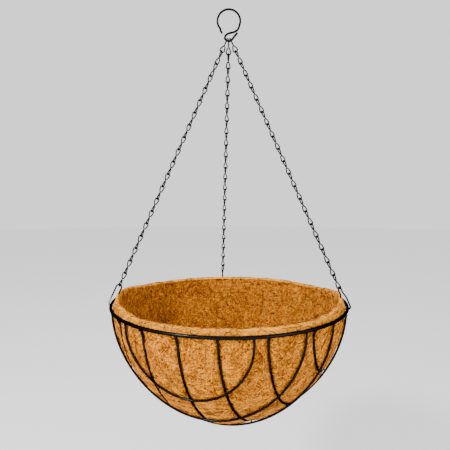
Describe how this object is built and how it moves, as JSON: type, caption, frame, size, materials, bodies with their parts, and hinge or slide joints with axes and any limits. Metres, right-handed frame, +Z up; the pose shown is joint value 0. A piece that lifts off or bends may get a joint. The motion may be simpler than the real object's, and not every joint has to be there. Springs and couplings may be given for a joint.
{
  "type": "hanging basket",
  "caption": "Round-bottomed wire hanging basket with a thick coir liner, hung by three jack chains with rim clips from one wire hook.",
  "frame": {"origin": "the hanging point, at the inside top of the hook's ring", "axes": "+Z up, +X to the right across the hook's ring, -Y to the front, where the long chord loop of the wire frame shows"},
  "size_m": [0.3558, 0.3575, 0.6189],
  "materials": {
    "black_wire": "gloss black coating",
    "chain_steel": "thin black finish over steel",
    "clip_steel": "dull grey-black spring wire",
    "coir": "matted coconut fibre"
  },
  "bodies": {
    "hook": {"hanger_hook": "black_wire"},
    "chain_tops": {"left_chain_run_01": "chain_steel", "right_chain_run_01": "chain_steel", "rear_chain_run_01": "chain_steel"},
    "basket": {"rim_ring": "black_wire", "outer_rib_1": "black_wire", "outer_rib_2": "black_wire", "outer_rib_3": "black_wire", "outer_rib_4": "black_wire", "outer_rib_5": "black_wire", "outer_rib_6": "black_wire", "outer_rib_7": "black_wire", "inner_rib_1": "black_wire", "inner_rib_2": "black_wire", "inner_rib_3": "black_wire", "inner_rib_4": "black_wire", "inner_rib_5": "black_wire", "inner_rib_6": "black_wire", "inner_rib_7": "black_wire", "coir_liner": "coir"},
    "left_upper_segment": {"left_chain_run_02": "chain_steel", "left_chain_run_03": "chain_steel", "left_chain_run_04": "chain_steel"},
    "left_middle_segment": {"left_chain_run_05": "chain_steel", "left_chain_run_06": "chain_steel", "left_chain_run_07": "chain_steel"},
    "left_lower_segment": {"left_chain_run_08": "chain_steel", "left_chain_run_09": "chain_steel", "left_chain_run_10": "chain_steel"},
    "left_clip": {"left_rim_clip": "clip_steel"},
    "right_upper_segment": {"right_chain_run_02": "chain_steel", "right_chain_run_03": "chain_steel", "right_chain_run_04": "chain_steel"},
    "right_middle_segment": {"right_chain_run_05": "chain_steel", "right_chain_run_06": "chain_steel", "right_chain_run_07": "chain_steel"},
    "right_lower_segment": {"right_chain_run_08": "chain_steel", "right_chain_run_09": "chain_steel", "right_chain_run_10": "chain_steel"},
    "right_clip": {"right_rim_clip": "clip_steel"},
    "rear_upper_segment": {"rear_chain_run_02": "chain_steel", "rear_chain_run_03": "chain_steel", "rear_chain_run_04": "chain_steel"},
    "rear_middle_segment": {"rear_chain_run_05": "chain_steel", "rear_chain_run_06": "chain_steel", "rear_chain_run_07": "chain_steel"},
    "rear_lower_segment": {"rear_chain_run_08": "chain_steel", "rear_chain_run_09": "chain_steel", "rear_chain_run_10": "chain_steel"},
    "rear_clip": {"rear_rim_clip": "clip_steel"}
  },
  "joints": [
    {"name": "basket_swing", "type": "hinge", "parent": "hook", "child": "chain_tops", "pos_m": [0, 0, -0.0444], "axis": [1, 0, 0], "range_deg": [-20, 20]},
    {"name": "basket_lift", "type": "slide", "parent": "chain_tops", "child": "basket", "axis": [0, 0, 1], "range_m": [0, 0.012]},
    {"name": "left_upper_segment_pivot", "type": "hinge", "parent": "chain_tops", "child": "left_upper_segment", "pos_m": [-0.01863, -0.00246, -0.0789], "axis": [-0.1595, 0.9872, 0], "range_deg": [-13.61, 0]},
    {"name": "left_middle_segment_pivot", "type": "hinge", "parent": "left_upper_segment", "child": "left_middle_segment", "pos_m": [-0.06635, -0.01017, -0.18874], "axis": [-0.1595, 0.9872, 0], "range_deg": [0, 16.39]},
    {"name": "left_lower_segment_pivot", "type": "hinge", "parent": "left_middle_segment", "child": "left_lower_segment", "pos_m": [-0.11406, -0.01788, -0.29857], "axis": [-0.1595, 0.9872, 0], "range_deg": [0, 10]},
    {"name": "left_clip_pivot", "type": "hinge", "parent": "left_lower_segment", "child": "left_clip", "pos_m": [-0.16178, -0.02559, -0.4084], "axis": [-0.1595, 0.9872, 0], "range_deg": [-11.06, 0]},
    {"name": "right_upper_segment_pivot", "type": "hinge", "parent": "chain_tops", "child": "right_upper_segment", "pos_m": [0.01832, -0.00394, -0.0789], "axis": [-0.2551, -0.9669, 0], "range_deg": [-13.61, 0]},
    {"name": "right_middle_segment_pivot", "type": "hinge", "parent": "right_upper_segment", "child": "right_middle_segment", "pos_m": [0.06507, -0.01628, -0.18873], "axis": [-0.2551, -0.9669, 0], "range_deg": [0, 16.39]},
    {"name": "right_lower_segment_pivot", "type": "hinge", "parent": "right_middle_segment", "child": "right_lower_segment", "pos_m": [0.11182, -0.02862, -0.29855], "axis": [-0.2551, -0.9669, 0], "range_deg": [0, 10]},
    {"name": "right_clip_pivot", "type": "hinge", "parent": "right_lower_segment", "child": "right_clip", "pos_m": [0.15858, -0.04095, -0.40838], "axis": [-0.2551, -0.9669, 0], "range_deg": [-11.06, 0]},
    {"name": "rear_upper_segment_pivot", "type": "hinge", "parent": "chain_tops", "child": "rear_upper_segment", "pos_m": [-0.0011, 0.01569, -0.07977], "axis": [0.9976, 0.0698, 0], "range_deg": [-13.56, 0]},
    {"name": "rear_middle_segment_pivot", "type": "hinge", "parent": "rear_upper_segment", "child": "rear_middle_segment", "pos_m": [-0.00453, 0.0648, -0.18921], "axis": [0.9976, 0.0698, 0], "range_deg": [0, 16.38]},
    {"name": "rear_lower_segment_pivot", "type": "hinge", "parent": "rear_middle_segment", "child": "rear_lower_segment", "pos_m": [-0.00796, 0.1139, -0.29866], "axis": [0.9976, 0.0698, 0], "range_deg": [0, 9.9]},
    {"name": "rear_clip_pivot", "type": "hinge", "parent": "rear_lower_segment", "child": "rear_clip", "pos_m": [-0.0114, 0.163, -0.40809], "axis": [0.9976, 0.0698, 0], "range_deg": [-11.02, 0]}
  ],
  "couplings": [
    {"joint": "left_upper_segment_pivot", "follows": "basket_lift", "rad_per_m": -19.072},
    {"joint": "left_middle_segment_pivot", "follows": "basket_lift", "rad_per_m": 23.116},
    {"joint": "left_lower_segment_pivot", "follows": "basket_lift", "rad_per_m": 13.814},
    {"joint": "left_clip_pivot", "follows": "basket_lift", "rad_per_m": -15.354},
    {"joint": "right_upper_segment_pivot", "follows": "basket_lift", "rad_per_m": -19.071},
    {"joint": "right_middle_segment_pivot", "follows": "basket_lift", "rad_per_m": 23.116},
    {"joint": "right_lower_segment_pivot", "follows": "basket_lift", "rad_per_m": 13.811},
    {"joint": "right_clip_pivot", "follows": "basket_lift", "rad_per_m": -15.352},
    {"joint": "rear_upper_segment_pivot", "follows": "basket_lift", "rad_per_m": -18.998},
    {"joint": "rear_middle_segment_pivot", "follows": "basket_lift", "rad_per_m": 23.103},
    {"joint": "rear_lower_segment_pivot", "follows": "basket_lift", "rad_per_m": 13.675},
    {"joint": "rear_clip_pivot", "follows": "basket_lift", "rad_per_m": -15.294}
  ]
}
